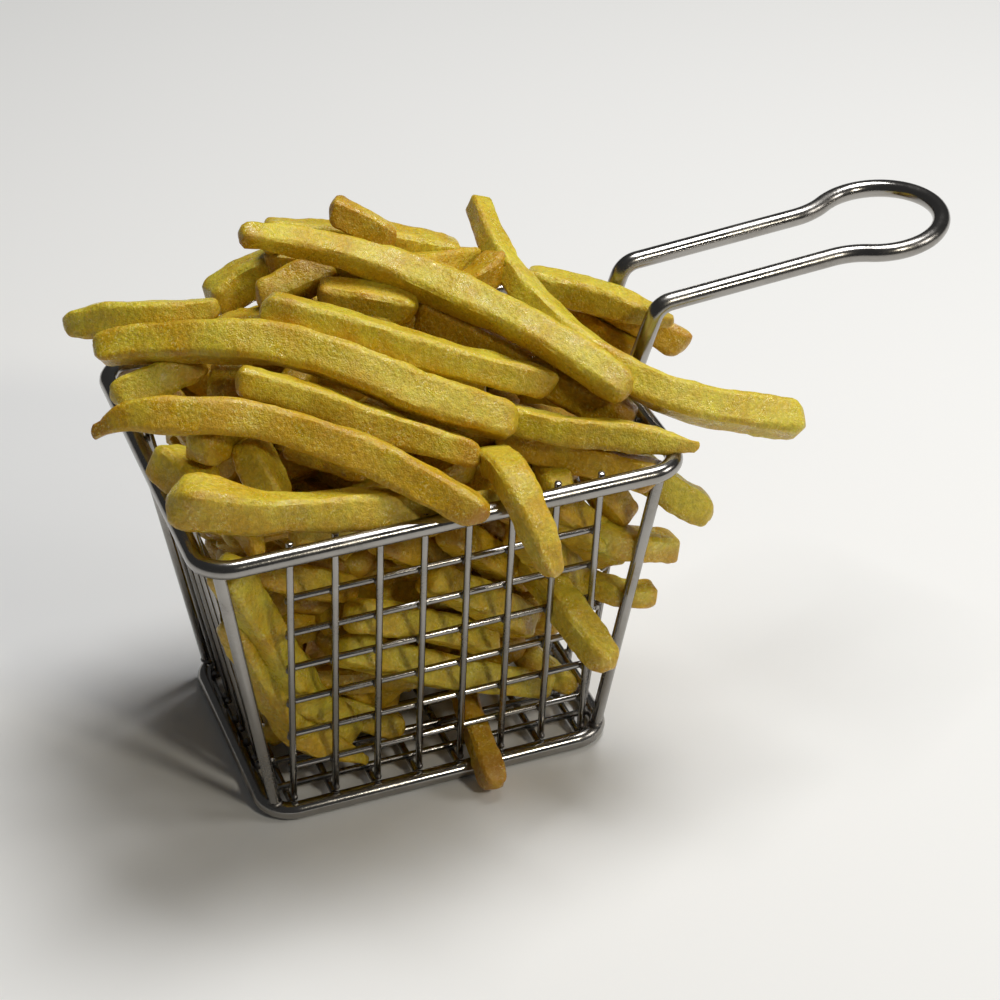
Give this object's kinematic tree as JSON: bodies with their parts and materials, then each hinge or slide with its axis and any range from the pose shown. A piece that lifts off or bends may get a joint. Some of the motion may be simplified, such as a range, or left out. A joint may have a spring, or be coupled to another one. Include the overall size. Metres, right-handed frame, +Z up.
{
  "type": "french fries portion",
  "caption": "Portion of french fries heaped in a small rectangular serving basket of welded steel wire with a looped handle.",
  "frame": {"origin": "on the surface it stands on, under the middle of the bounding box of the basket, its handle and the fries", "axes": "+X along the basket's long sides towards the handle, +Y from the front side to the back, +Z up"},
  "size_m": [0.19, 0.1032, 0.1181],
  "materials": {
    "steel_wire": "polished, electropolished welds",
    "fried_potato": "golden fried potato, slightly oily and grainy"
  },
  "bodies": {
    "root": {"bottom_rim": "steel_wire", "top_rim": "steel_wire", "floor_mesh": "steel_wire", "post_front_left": "steel_wire", "post_front_right": "steel_wire", "post_back_left": "steel_wire", "post_back_right": "steel_wire", "front_mesh": "steel_wire", "back_mesh": "steel_wire", "right_mesh": "steel_wire", "left_mesh": "steel_wire", "handle": "steel_wire", "fries": "fried_potato"}
  },
  "joints": []
}
